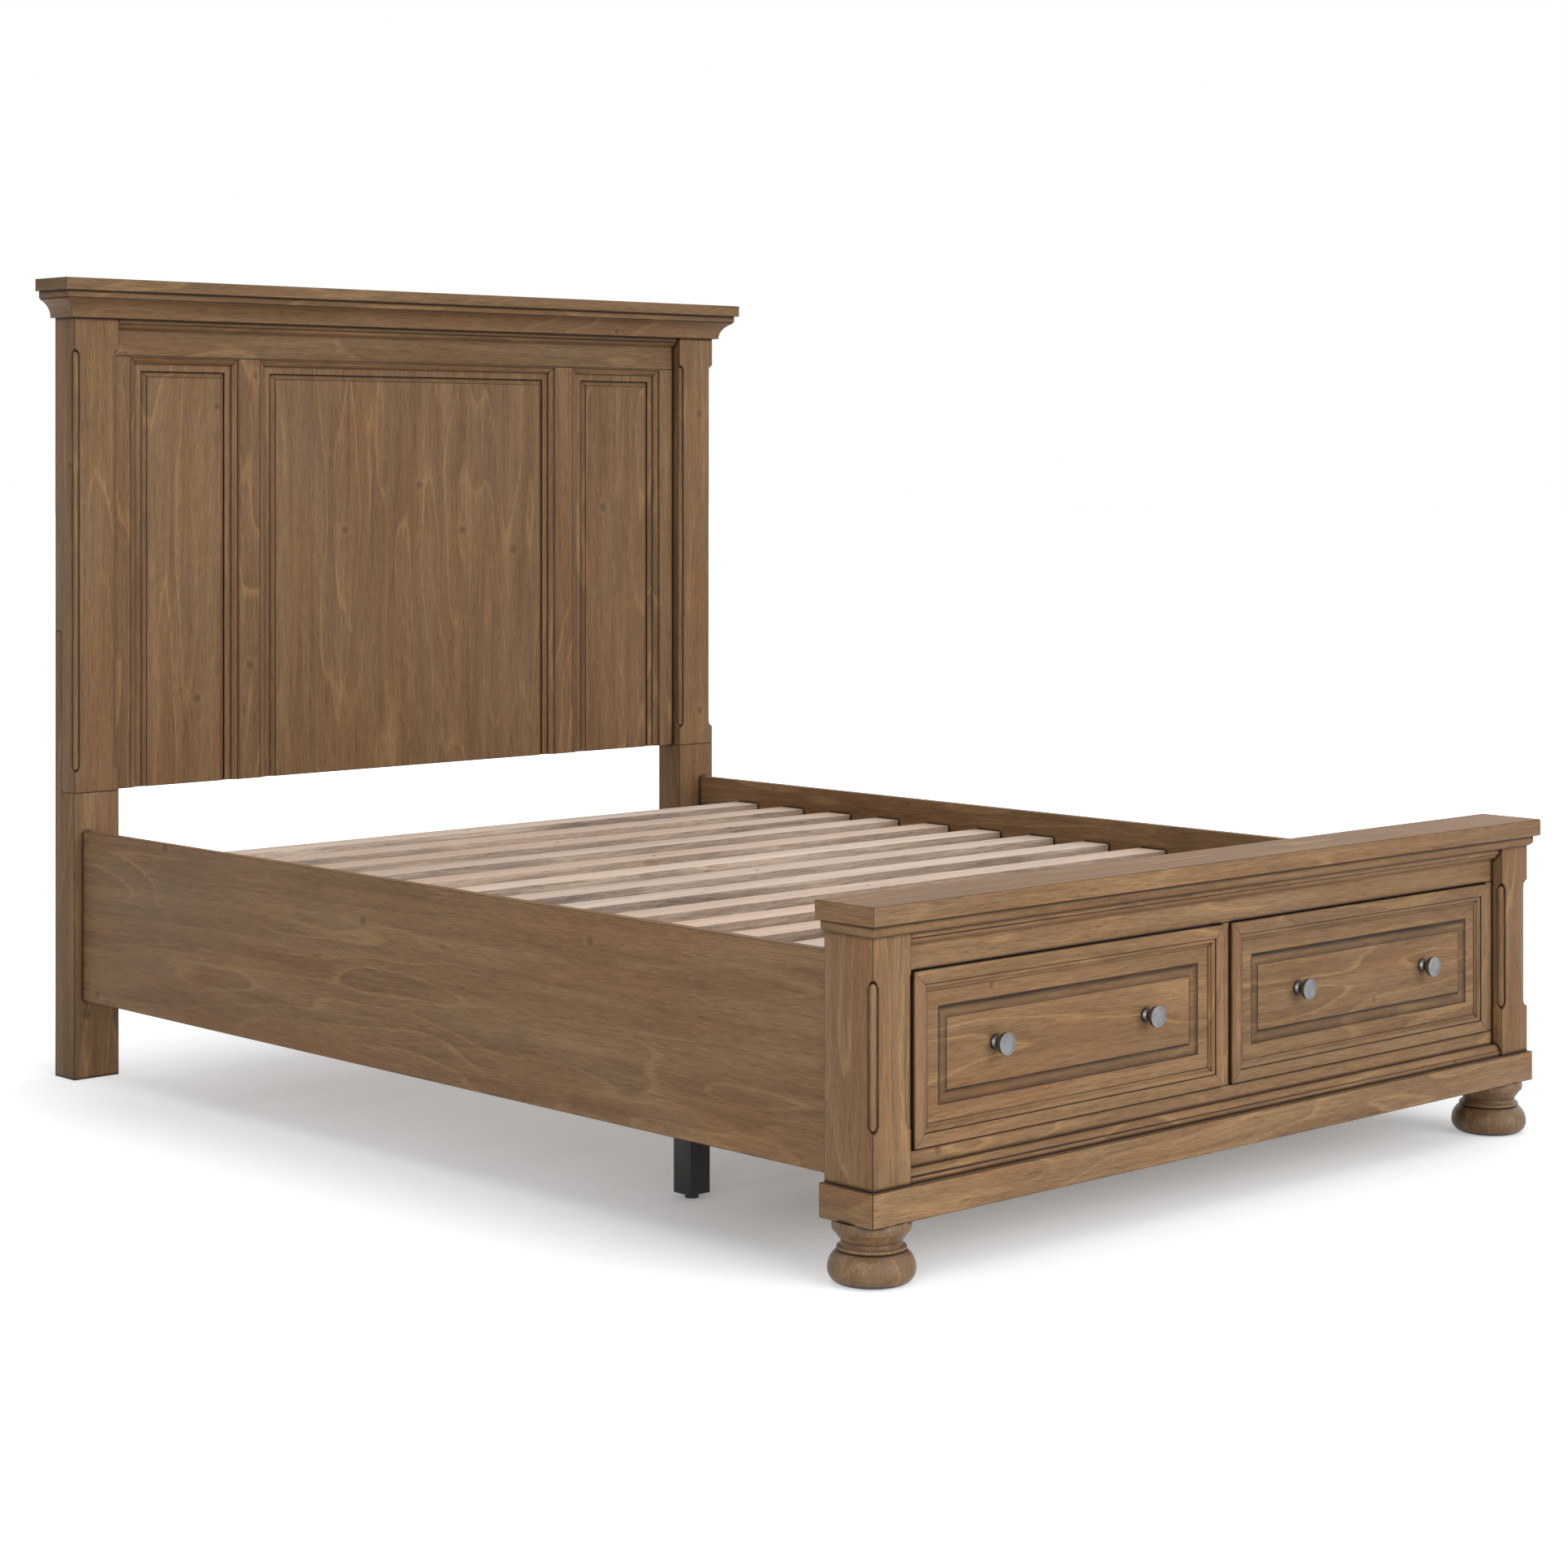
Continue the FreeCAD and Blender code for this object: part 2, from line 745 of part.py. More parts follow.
def case_leg_places():
    return [(side * (rail_inner - case_leg_from_rail), rear_rail_y) for side in (-1, 1)]


# Footboard

def foot_cap():
    board = block(-cap_half, cap_half, front_y, cap_back, cap_bottom, foot_height)
    return board.makeFillet(cap_edge_round, board.Edges)


def cap_moulding():
    """Moulding under the cap, mitred at the front corners, with returns along the posts."""
    projection = cap_moulding_projection
    toe = (projection - cap_moulding_toe, 0)
    nose = (0, cap_moulding_curve)
    corners = [(projection, 0), toe, arc_to(toe, nose, cap_moulding_bulge_share),
               (0, cap_moulding_height), (projection, cap_moulding_height)]
    members = three_sided(corners, 2 * (foot_post_outer + projection), foot_post_depth + projection)
    return [moved(member, 0, foot_post_front - projection, cap_moulding_bottom) for member in members]


def foot_post():
    post = block(foot_post_inner, foot_post_outer, foot_post_front, foot_post_back, plinth_top, cap_bottom)
    for place in foot_recess_places():
        post = post.cut(recess_shape(*place))
    for start, direction in bracket_bolts(foot_post_back, -1):
        post = post.cut(bolt_hole(start, direction))
    return post


def foot_header():
    return block(-foot_post_inner, foot_post_inner, foot_frame_y, foot_frame_back, header_bottom, cap_bottom)


def foot_bottom_rail():
    return block(-foot_post_inner, foot_post_inner, foot_frame_y, foot_frame_back,
                 plinth_bottom, bottom_rail_top)


def foot_stiles():
    side = block(side_stile_inner, foot_post_inner, foot_frame_y, foot_frame_back,
                 bottom_rail_top, header_bottom)
    centre = block(-centre_stile_half, centre_stile_half, foot_frame_y, foot_frame_back,
                   bottom_rail_top, header_bottom)
    return [mirrored(side), centre, side]


def bottom_moulding():
    front = foot_frame_y - bottom_moulding_projection
    nose = (front, plinth_top + bottom_moulding_fillet)
    quirk = (front + bottom_moulding_quirk, nose[1] + bottom_moulding_quirk_rise)
    shoulder = (foot_frame_y - bottom_moulding_ledge, plinth_top + bottom_moulding_height)
    corners = [(foot_frame_y, plinth_top), (front, plinth_top), nose, quirk,
               arc_to(quirk, shoulder, bottom_moulding_bulge_share),
               (foot_frame_y, plinth_top + bottom_moulding_height)]
    return moved(outline_face(corners).extrude(Vector(2 * foot_post_inner, 0, 0)), -foot_post_inner, 0, 0)


def plinth():
    corners = [(0, 0), (0, plinth_height), (plinth_thickness, plinth_height), (plinth_thickness, 0)]
    members = three_sided(corners, 2 * plinth_outer, cap_back - plinth_front)
    return [moved(member, 0, plinth_front, plinth_bottom) for member in members]


def corner_block():
    piece = block(foot_post_inner, plinth_outer - plinth_thickness,
                  plinth_front + plinth_thickness, cap_back, plinth_bottom, plinth_top)
    return piece.cut(foot_stud(fastener_clearance))


def foot_stud(extra):
    start = Vector(bun_x, bun_y, plinth_bottom - stud_in_foot - extra)
    return rod(stud_radius + extra, stud_in_foot + stud_in_block + 2 * extra, start, ALONG_Z)


def bun_foot():
    """Turned foot: flattened bun, ring, neck that widens upwards and a round collar under the plinth."""
    widest = (bun_radius, bun_widest_height)
    bun_low_curve = (bun_low_curve_radius, bun_low_curve_height)
    bun_high_curve = (bun_high_curve_radius, bun_high_curve_height)
    bun_top = (bun_top_radius, bun_top_height)
    ring_middle = (ring_radius, ring_middle_height)
    ring_top = (ring_edge_radius, ring_top_height)
    neck_curve = (neck_curve_radius, neck_curve_height)
    collar_middle = (collar_radius, collar_middle_height)
    collar_top = (collar_top_radius, plinth_bottom - collar_top_gap)
    corners = [(0, 0), (bun_base_radius, 0), bun_low_curve + widest, bun_high_curve + bun_top,
               (ring_edge_radius, ring_low_height), ring_middle + ring_top,
               neck_curve + (neck_radius, neck_height), (neck_top_radius, neck_top_height),
               (collar_edge_radius, collar_edge_height), collar_middle + collar_top,
               (collar_top_radius, plinth_bottom), (0, plinth_bottom)]
    turning = outline_face(corners).revolve(ORIGIN, ALONG_Z, 360)
    return moved(turning, bun_x, bun_y, 0).cut(foot_stud(fastener_clearance))


# Drawer case

def case_side():
    return block(side_stile_inner, side_stile_inner + case_side_thickness,
                 foot_frame_back, rear_rail_front, drawer_bottom, ledge_bottom)


def case_divider():
    divider = block(-centre_stile_half, centre_stile_half, foot_frame_back, rear_rail_front,
                    drawer_bottom, slat_bottom)
    for index in screw_slats:
        if slat_y(index) < rear_rail_front:
            divider = divider.cut(screw_hole(slat_y(index)))
    return divider


def case_rear_rail():
    return block(-rail_inner, rail_inner, rear_rail_front, rear_rail_back, drawer_bottom, ledge_bottom)


# Extension slides. Each is worked out with its fixed wall at x = 0 and the drawer towards +X.

def slide_channel(wall_gap, reach, height, opens_to_drawer):
    """Thin channel whose web is nearest the fixed wall, or nearest the drawer if it opens the other way."""
    low = slide_middle_z - height / 2
    high = slide_middle_z + height / 2
    back = slide_front_y + slide_length
    hollow_near = wall_gap + slide_metal if opens_to_drawer else wall_gap
    hollow_far = reach if opens_to_drawer else reach - slide_metal
    hollow = block(hollow_near, hollow_far, slide_front_y, back, low + slide_metal, high - slide_metal)
    return block(wall_gap, reach, slide_front_y, back, low, high).cut(hollow)


def fixed_channel():
    return slide_channel(0, slide_space - slide_metal - slide_play, slide_height, True)


def middle_channel():
    gap = slide_metal + slide_play
    return slide_channel(gap, slide_space - slide_metal - slide_play, slide_height - 2 * gap, True)


def inner_channel():
    gap = slide_metal + slide_play
    return slide_channel(2 * gap, slide_space, slide_height - 4 * gap, False)


def at_outer_wall(channel):
    return moved(mirrored(channel), side_stile_inner, 0, 0)


def at_divider(channel):
    return moved(channel, centre_stile_half, 0, 0)


# Drawers. The right-hand drawer is made and the left-hand one is its mirror image.

def groove_tool():
    """What the cutter takes out of a drawer front between its band and its field."""
    edge = (groove_edge_width, -groove_edge_depth)
    end = (groove_width, -field_setback - groove_step)
    return [(0, cut_overrun), (0, 0), edge, arc_to(edge, end, -groove_hollow_share),
            (groove_width, cut_overrun)]


def on_drawer_front(members, margin):
    """Stands a frame up on the band's plane, at a margin inside the drawer front's edge."""
    upright = [turned(member, ALONG_X, 90) for member in members]
    return [moved(member, drawer_centre, band_y, drawer_bottom + margin) for member in upright]


def front_frame(corners, margin):
    width = drawer_outer - drawer_inner - 2 * margin
    height = drawer_top - drawer_bottom - 2 * margin
    return on_drawer_front(four_sided(corners, width, height), margin)


def knob_places():
    return [drawer_centre - knob_spacing / 2, drawer_centre + knob_spacing / 2]


def drawer_front():
    board = block(drawer_inner, drawer_outer, band_y, drawer_front_back, drawer_bottom, drawer_top)
    for cutter in front_frame(groove_tool(), front_moulding_width + band_width):
        board = board.cut(cutter)
    above_field = block(drawer_inner + field_margin, drawer_outer - field_margin,
                        band_y - cut_overrun, field_y,
                        drawer_bottom + field_margin, drawer_top - field_margin)
    board = board.cut(above_field)
    for x in knob_places():
        board = board.cut(knob_hole(x))
    return board


def front_moulding():
    """Mitred frame laid on the drawer front: a flat, a quirk, a round and a thin toe."""
    proud = front_moulding_proud + band_setback
    edge = (0, proud - front_moulding_round)
    face = (front_moulding_round, proud)
    shoulder = (front_moulding_flat, proud - front_moulding_quirk)
    step = (shoulder[0] + front_moulding_ovolo_width, shoulder[1] - front_moulding_ovolo_drop)
    toe = (front_moulding_width, front_moulding_toe)
    bulge = front_moulding_bulge_share
    corners = [(0, 0), edge, arc_to(edge, face, bulge), (front_moulding_flat, proud), shoulder,
               arc_to(shoulder, step, bulge), arc_to(step, toe, -bulge), (front_moulding_width, 0)]
    return front_frame(corners, 0)


def box_bottom_panel():
    low = box_bottom + box_panel_lift
    inset = box_wall - box_panel_groove
    return block(box_inner_side + inset, box_outer_side - inset, drawer_front_back + inset,
                 drawer_front_back + box_length - inset, low, low + box_panel_thickness)


def drawer_box():
    """Two sides, an inner front and a back, grooved for the bottom panel."""
    back = drawer_front_back + box_length
    panel = box_bottom_panel()
    near_side = block(box_inner_side, box_inner_side + box_wall,
                      drawer_front_back, back, box_bottom, box_top)
    far_side = block(box_outer_side - box_wall, box_outer_side,
                     drawer_front_back, back, box_bottom, box_top)
    inner_front = block(box_inner_side + box_wall, box_outer_side - box_wall, drawer_front_back,
                        drawer_front_back + box_wall, box_bottom, box_top)
    back_wall = moved(inner_front, 0, box_length - box_wall, 0)
    return [wall.cut(panel) for wall in (near_side, far_side, inner_front, back_wall)]


def knob(x):
    """Turned knob: foot, neck, cone and a thin-rimmed disc, with the stud that holds it."""
    neck = (knob_neck_radius, knob_neck_height)
    cone = (knob_cone_radius, knob_cone_height)
    rim_inner = knob_disc_radius - knob_rim_width
    corners = [(0, -knob_stud_length), (knob_stud_radius, -knob_stud_length), (knob_stud_radius, 0),
               (knob_foot_radius, 0), (knob_foot_radius, knob_foot_height), neck,
               arc_to(neck, cone, cove_bulge_share), (knob_disc_radius, knob_rim_height),
               (knob_disc_radius, knob_height), (rim_inner, knob_height),
               (rim_inner, knob_height - knob_dish_depth), (0, knob_height - knob_dish_depth)]
    turning = outline_face(corners).revolve(ORIGIN, ALONG_Z, 360)
    return moved(turned(turning, ALONG_X, 90), x, field_y, knob_z)


def knob_hole(x):
    mouth = Vector(x, field_y, knob_z)
    return rod(knob_stud_radius + fastener_clearance, drawer_front_thickness, mouth, ALONG_Y)


# Writing the pieces

def save(name, solids):
    shape = solids[0] if len(solids) == 1 else Part.makeCompound(solids)
    shape.exportStep("parts/" + name + ".step")


def save_pair(name, solid):
    save(name + "_left", [mirrored(solid)])
    save(name + "_right", [solid])


def both_sides(solids):
    return solids + [mirrored(solid) for solid in solids]


def save_headboard():
    save_pair("head_post", head_post())
    save_pair("head_leg", head_leg())
    save("head_post_beads", both_sides([bead(*place) for place in head_recess_places()]))
    save("crown_board", [crown_board()])
    save("crown_step", [crown_step()])
    save("crown_cove", crown_cove())
    save("frieze_moulding",
         [cornice_trim(head_post_inner, head_frame_y, head_frame_inset, cove_bottom, head_post_top)])
    save("head_top_rail", [head_top_rail()])
    save("head_stiles", head_stiles())
    for name, place in zip(("left", "centre", "right"), panel_openings()):
        save("head_panel_" + name, [head_panel(*place)])
    save("head_panel_moulding", head_panel_moulding())
    save("head_back_sheet", [head_back_sheet()])


def save_middle():
    save_pair("side_rail", side_rail())
    save("slat_ledges", both_sides([slat_ledge()]))
    save("slats", [slat(index) for index in range(slat_count)])
    save("slat_screws", [screw(slat_y(index)) for index in screw_slats])
    save("centre_beam", [centre_beam()])
    save("centre_legs", [metal_leg(x, y, beam_bottom) for x, y in centre_leg_places()])
    save("case_legs", [metal_leg(x, y, drawer_bottom) for x, y in case_leg_places()])
    save("leg_glides", [glide(x, y) for x, y in centre_leg_places() + case_leg_places()])
    save("rail_brackets", both_sides([bracket(*place) for place in bracket_places()]))
    bolts = [bolt(leg_bolt_start(x, z), Vector(0, -1, 0)) for x, z in leg_bolt_places()]
    for place in bracket_places():
        bolts += [bolt(start, direction) for start, direction in bracket_bolts(*place)]
    save("frame_bolts", both_sides(bolts))


def save_footboard():
    save_pair("foot_post", foot_post())
    save("foot_post_beads", both_sides([bead(*place) for place in foot_recess_places()]))
    save("foot_cap", [foot_cap()])
    save("cap_moulding", cap_moulding())
    save("foot_header", [foot_header()])
    save("header_moulding",
         [cornice_trim(foot_post_inner, foot_frame_y, foot_frame_inset, cap_moulding_bottom, cap_bottom)])
    save("foot_stiles", foot_stiles())
    save("foot_bottom_rail", [foot_bottom_rail()])
    save("bottom_moulding", [bottom_moulding()])
    save("plinth", plinth())
    save("corner_blocks", both_sides([corner_block()]))
    save_pair("bun_foot", bun_foot())
    save("foot_studs", both_sides([foot_stud(0)]))


def save_drawers():
    save("case_sides", both_sides([case_side()]))
    save("case_divider", [case_divider()])
    save("case_rear_rail", [case_rear_rail()])
    save("slide_channels", both_sides([at_divider(fixed_channel()), at_outer_wall(fixed_channel())]))
    middle_channels = [at_divider(middle_channel()), at_outer_wall(middle_channel())]
    inner_channels = [at_divider(inner_channel()), at_outer_wall(inner_channel())]
    knobs = [knob(x) for x in knob_places()]
    pieces = {"slide_middles": middle_channels, "slide_inners": inner_channels,
              "drawer_front": [drawer_front()], "drawer_moulding": front_moulding(),
              "drawer_box": drawer_box(), "drawer_bottom": [box_bottom_panel()], "drawer_knobs": knobs}
    for name, solids in pieces.items():
        save(name + "_right", solids)
        save(name + "_left", [mirrored(solid) for solid in solids])


save_headboard()
save_middle()
save_footboard()
save_drawers()
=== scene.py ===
import json
import math
import random

import bmesh
import bpy
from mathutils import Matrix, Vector

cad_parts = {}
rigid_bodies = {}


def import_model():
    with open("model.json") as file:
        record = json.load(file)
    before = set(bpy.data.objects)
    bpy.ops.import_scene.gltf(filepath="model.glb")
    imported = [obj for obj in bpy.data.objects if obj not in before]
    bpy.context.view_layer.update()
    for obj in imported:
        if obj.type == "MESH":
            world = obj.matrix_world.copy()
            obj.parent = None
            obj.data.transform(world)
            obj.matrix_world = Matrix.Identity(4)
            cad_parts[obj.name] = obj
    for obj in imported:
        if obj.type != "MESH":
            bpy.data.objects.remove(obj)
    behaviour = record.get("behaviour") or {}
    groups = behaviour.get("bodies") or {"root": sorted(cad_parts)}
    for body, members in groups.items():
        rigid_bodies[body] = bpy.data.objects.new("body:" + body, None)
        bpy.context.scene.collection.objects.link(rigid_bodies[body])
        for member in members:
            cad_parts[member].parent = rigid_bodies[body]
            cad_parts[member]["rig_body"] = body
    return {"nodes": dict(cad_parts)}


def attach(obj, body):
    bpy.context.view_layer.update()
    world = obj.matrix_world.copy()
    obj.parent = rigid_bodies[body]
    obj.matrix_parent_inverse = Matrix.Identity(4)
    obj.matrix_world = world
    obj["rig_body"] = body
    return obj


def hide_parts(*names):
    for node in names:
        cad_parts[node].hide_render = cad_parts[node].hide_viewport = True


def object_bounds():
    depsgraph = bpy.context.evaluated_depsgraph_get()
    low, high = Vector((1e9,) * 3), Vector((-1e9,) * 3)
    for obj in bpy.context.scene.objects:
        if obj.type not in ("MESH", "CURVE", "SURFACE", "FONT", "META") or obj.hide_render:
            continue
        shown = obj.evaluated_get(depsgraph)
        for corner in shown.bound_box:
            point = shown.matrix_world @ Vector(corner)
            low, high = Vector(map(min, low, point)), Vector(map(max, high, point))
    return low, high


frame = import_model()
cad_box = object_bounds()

# Everything is in metres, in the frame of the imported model: axis 0 runs across the bed, axis 1 from its foot
# to its head and axis 2 up. Colours given to paint are display values from 0 to 255.

chance = random.Random(41)


def linear_level(value):
    """Linear level of a display value between 0 and 255."""
    share = value / 255
    return ((share + 0.055) / 1.055) ** 2.4 if share > 0.04 else share / 12.92


def paint(red, green, blue):
    """Linear colour from display values between 0 and 255."""
    return (linear_level(red), linear_level(green), linear_level(blue), 1.0)


def near_side(node, axis):
    """Where a CAD node begins on an axis."""
    return min(corner.co[axis] for corner in frame["nodes"][node].data.vertices)


def far_side(node, axis):
    """Where a CAD node ends on an axis."""
    return max(corner.co[axis] for corner in frame["nodes"][node].data.vertices)


# Helper for node materials

class Shader:
    """The nodes of a material or a world. A value is a number, a tuple or another node's output."""

    def __init__(self, owner):
        self.owner = owner
        owner.use_nodes = True
        self.tree = owner.node_tree
        self.tree.nodes.clear()

    def feed(self, socket, value):
        """Links an output to a socket, or sets the socket to a fixed value."""
        if isinstance(value, bpy.types.NodeSocket):
            self.tree.links.new(value, socket)
        else:
            socket.default_value = value

    def put(self, kind, inputs, **settings):
        """A new node with its inputs, by name or number, and its settings."""
        node = self.tree.nodes.new("ShaderNode" + kind)
        for name, value in settings.items():
            setattr(node, name, value)
        for name, value in inputs.items():
            self.feed(node.inputs[name], value)
        return node

    def maths(self, operation, first, second=0.0):
        return self.put("Math", {0: first, 1: second}, operation=operation).outputs[0]

    def vectors(self, operation, first, second):
        return self.put("VectorMath", {0: first, 1: second}, operation=operation).outputs[0]

    def distance(self, first, second):
        return self.put("VectorMath", {0: first, 1: second}, operation="DISTANCE").outputs[1]

    def attribute(self, name):
        """A vector stored on the mesh."""
        return self.put("Attribute", {}, attribute_name=name).outputs["Vector"]

    def rest_place(self):
        """Place in the bed at rest, whatever the pose."""
        return self.put("TexCoord", {}).outputs["Object"]

    def seen_clearly(self):
        """One for what the camera sees, directly, in a reflection or through glass, and zero for light."""
        ray = self.put("LightPath", {}).outputs
        indirect = self.maths("MAXIMUM", ray["Is Glossy Ray"], ray["Is Transmission Ray"])
        return self.maths("MAXIMUM", ray["Is Camera Ray"], indirect)

    def noise(self, place, cells, detail=2.0, roughness=0.5, output="Fac", shift=0.0):
        """Noise with some cells per metre on each axis of the place. A shift makes it another noise."""
        shifted = self.vectors("ADD", place, (shift, shift * 1.7, shift * 0.6))
        scaled = self.vectors("MULTIPLY", shifted, cells)
        inputs = {"Vector": scaled, "Scale": 1.0, "Detail": detail, "Roughness": roughness}
        return self.put("TexNoise", inputs).outputs[output]

    def spread(self, value, low, high, to_low=0.0, to_high=1.0, smooth=True):
        """Spreads the values between low and high over another range, and holds it at its ends."""
        inputs = {"Value": value, "From Min": low, "From Max": high, "To Min": to_low, "To Max": to_high}
        kind = "SMOOTHSTEP" if smooth else "LINEAR"
        return self.put("MapRange", inputs, interpolation_type=kind).outputs[0]

    def mix(self, share, first, second, blend="MIX"):
        """Lays a share of the second colour over the first. Inputs 6 and 7 of the node are its colours."""
        node = self.put("Mix", {}, data_type="RGBA", blend_type=blend)
        self.feed(node.inputs[0], share)
        self.feed(node.inputs[6], first)
        self.feed(node.inputs[7], second)
        return node.outputs[2]

    def level(self, colour, factor):
        """The colour made brighter or darker by a factor."""
        grey = self.put("CombineColor", {0: factor, 1: factor, 2: factor}).outputs[0]
        return self.mix(1.0, colour, grey, "MULTIPLY")

    def end(self, shader, kind="OutputMaterial"):
        """Shows a shader node on the material or world, and hands that back."""
        output = self.put(kind, {})
        self.tree.links.new(shader.outputs[0], output.inputs[0])
        return self.owner

    def surface(self, inputs, height, bump_depth):
        """Ends a material with a principled shader and a bump from a height."""
        shader = self.put("BsdfPrincipled", inputs)
        bump = self.put("Bump", {"Strength": 1.0, "Distance": bump_depth, "Height": height})
        self.tree.links.new(bump.outputs[0], shader.inputs["Normal"])
        return self.end(shader)


def even(count):
    """The same number of cells per metre on all axes."""
    return (count, count, count)


def lengthwise(along, across):
    """One number of cells per metre along the board, and another across it and through it."""
    return (along, across, across)


# Colours of the stained wood

stain_dark = paint(123, 96, 69)
stain_light = paint(139, 111, 81)
stain_red = paint(132, 97, 67)
stain_grey = paint(119, 100, 80)
crest_colour = paint(166, 134, 92)
warm_cast = paint(255, 240, 226)
knot_ring = paint(154, 122, 84)
knot_heart = paint(78, 68, 54)
# Glaze colours, which also paint shade in corners, quirks, hollows and on the leaning faces of mouldings
corner_glaze_and_shade = paint(44, 34, 26)
edge_glaze_and_shade = paint(46, 36, 28)

# Figure of the wood: how far the fibres wander across the board, how many growth bands lie between the low
# and the high of the figure, and how much the streaks fray the bands

fibre_drift = 0.05
growth_bands = 8.5
fine_fray = 0.22
broad_fray = 0.36

# A growth band gets lighter up to its crest, then drops to a dark line, as shares of the band

crest_start = 0.78
crest_top = 0.96
crest_end = 0.97
dark_line_start = 0.93

# Reach of the glaze and painted shade out of a corner, and depth of the bumps

corner_reach = 0.0075
wood_bump = 0.0001
coat_bump = 0.00006
metal_bump = 0.00001

# A knot's dark heart and its lighter ring are measured in this many of its radii

knot_reach = 1.4

# Faces that carry knots

panel_face = near_side("head_panel_centre", 1)
stile_face = near_side("head_stiles", 1)
head_post_face = near_side("head_post_right", 1)
left_post_side = near_side("head_post_left", 0)
right_post_side = far_side("head_post_right", 0)
left_rail_side = near_side("side_rail_left", 0)
right_rail_side = far_side("side_rail_right", 0)
cove_hollow = head_post_face - 0.010
bottom_rail_face = near_side("foot_bottom_rail", 1)
bottom_moulding_face = near_side("bottom_moulding", 1)
drawer_face = near_side("drawer_front_left", 1)

# Knots that show on the stained faces, as places on the surface and a radius
knots = [
    ((0.020, panel_face, 1.149), 0.0062),
    ((-0.173, panel_face, 1.056), 0.0056),
    ((0.134, panel_face, 1.051), 0.0066),
    ((0.272, panel_face, 1.007), 0.0066),
    ((0.527, panel_face, 1.096), 0.0062),
    ((-0.533, panel_face, 0.724), 0.0062),
    ((-0.487, panel_face, 1.309), 0.0048),
    ((0.790, head_post_face, 1.306), 0.0062),
    ((0.790, head_post_face, 0.632), 0.0060),
    ((-0.801, head_post_face, 0.125), 0.0068),
    ((left_rail_side, 1.014, 0.172), 0.0048),
    ((left_rail_side, 0.775, 0.474), 0.0064),
    ((left_rail_side, 0.145, 0.403), 0.0062),
    ((left_rail_side, -0.469, 0.435), 0.0058),
    ((-0.398, stile_face, 1.372), 0.0058),
    ((-0.410, stile_face, 0.786), 0.0056),
    ((left_post_side, 1.085, 1.190), 0.0056),
    ((0.535, cove_hollow, 1.488), 0.0048),
    ((-0.669, bottom_rail_face, 0.182), 0.0058),
    ((0.609, bottom_moulding_face, 0.149), 0.0046),
    ((0.402, drawer_face, 0.282), 0.0050),
    ((-0.552, drawer_face, 0.411), 0.0040),
    ((right_rail_side, 0.420, 0.350), 0.0062),
    ((right_post_side, 1.100, 0.900), 0.0056),
]


# Wood

def grain_lines(shader, place):
    """Place along the fibres, growth bands, fine and broad streaks, all from the place in the board."""
    drift = shader.noise(place, lengthwise(0.9, 3.2), 1.0, output="Color")
    drift = shader.vectors("SUBTRACT", drift, (0.5, 0.5, 0.5))
    drift = shader.vectors("MULTIPLY", drift, (0.0, fibre_drift, fibre_drift))
    place = shader.vectors("ADD", place, drift)
    figure = shader.noise(place, lengthwise(1.25, 7.5), 2.0, 0.42)
    fine = shader.noise(place, lengthwise(26.0, 480.0), 2.0, 0.9)
    broad = shader.noise(place, lengthwise(1.8, 62.0), 3.0, 0.8)
    ragged = shader.maths("ADD", shader.maths("MULTIPLY", fine, fine_fray),
                          shader.maths("MULTIPLY", broad, broad_fray))
    figure = shader.maths("MULTIPLY", figure, growth_bands)
    bands = shader.maths("FRACT", shader.maths("ADD", figure, ragged))
    return place, bands, fine, broad


def toned(shader, body, factor, tone):
    """The colour with the streaks of the wood and the lightness of its board, which is partly painted light.
    """
    factor = shader.maths("MULTIPLY", factor, shader.maths("ADD", tone.outputs[0], 1.0))
    return shader.level(body, factor)


def stain(shader, flow):
    """The stain without its figure: darker and lighter, with redder and greyer areas."""
    mottle = shader.noise(flow, lengthwise(1.8, 26.0), 3.0, 0.6, shift=3.0)
    body = shader.mix(shader.spread(mottle, 0.30, 0.70), stain_dark, stain_light)
    red_area = shader.noise(flow, lengthwise(2.2, 10.0), 1.0, shift=11.0)
    body = shader.mix(shader.spread(red_area, 0.48, 0.72, 0.0, 0.5), body, stain_red)
    grey_area = shader.noise(flow, lengthwise(2.4, 11.0), 2.0, shift=23.0)
    return shader.mix(shader.spread(grey_area, 0.52, 0.76, 0.0, 0.5), body, stain_grey)


def figured(shader, body, place, lines, tone):
    """The figure over the stain: light crests, dark lines behind them, streaks and pores."""
    flow, bands, fine, broad = lines
    strength = shader.noise(place, lengthwise(1.6, 5.0), 1.0, shift=31.0)
    strength = shader.spread(strength, 0.37, 0.58, 0.2, 1.0)
    rise = shader.spread(bands, 0.0, dark_line_start, -0.07, 0.08, smooth=False)
    drop = shader.spread(bands, dark_line_start, 1.0, 0.0, -0.15, smooth=False)
    figure = shader.maths("MULTIPLY", shader.maths("ADD", rise, drop), strength)
    crest = shader.maths("MULTIPLY", shader.spread(bands, crest_start, crest_top),
                         shader.spread(bands, 1.0, crest_end))
    crest = shader.maths("MULTIPLY", crest, strength)
    body = shader.mix(shader.maths("MULTIPLY", crest, 0.45), body, crest_colour)

    streaks = shader.maths("ADD", shader.spread(fine, 0.25, 0.75, -0.34, 0.32, smooth=False),
                           shader.spread(broad, 0.25, 0.75, -0.20, 0.18, smooth=False))
    pores = shader.noise(flow, lengthwise(14.0, 420.0), 1.0, shift=5.0)
    pores = shader.spread(pores, 0.64, 0.74, 0.0, -0.24)
    factor = shader.maths("ADD", shader.maths("ADD", figure, streaks), shader.maths("ADD", pores, 1.0))
    body = toned(shader, body, factor, tone)
    warmer = shader.mix(1.0, body, warm_cast, "MULTIPLY")
    return shader.mix(shader.maths("MULTIPLY", tone.outputs[1], 0.5), body, warmer)


